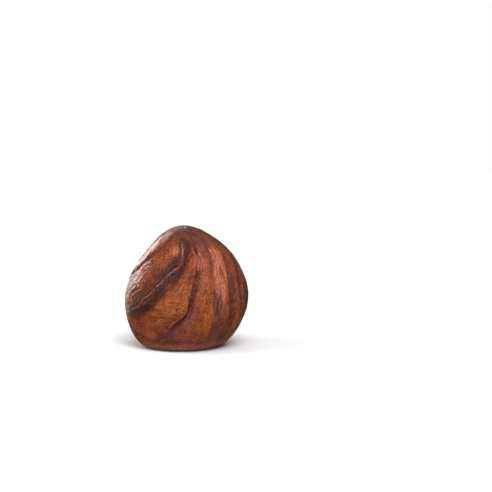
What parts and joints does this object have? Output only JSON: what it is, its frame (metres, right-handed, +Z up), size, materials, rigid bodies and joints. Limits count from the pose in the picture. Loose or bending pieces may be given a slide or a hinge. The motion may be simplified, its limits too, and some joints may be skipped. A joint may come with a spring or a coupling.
{
  "type": "hazelnut kernel",
  "caption": "Shelled hazelnut kernel in its thin brown skin, broad at the foot, drawn into folds that meet near its blunt tip.",
  "frame": {"origin": "the middle of the flat spot that the kernel rests on", "axes": "+Z up towards the tip, -Y towards the viewer of the picture, +X to that viewer's right"},
  "size_m": [0.0148, 0.0142, 0.0144],
  "materials": {
    "brown_skin": "thin fibrous seed skin, satin, red-brown to orange-brown"
  },
  "bodies": {
    "root": {"kernel": "brown_skin"}
  },
  "joints": []
}
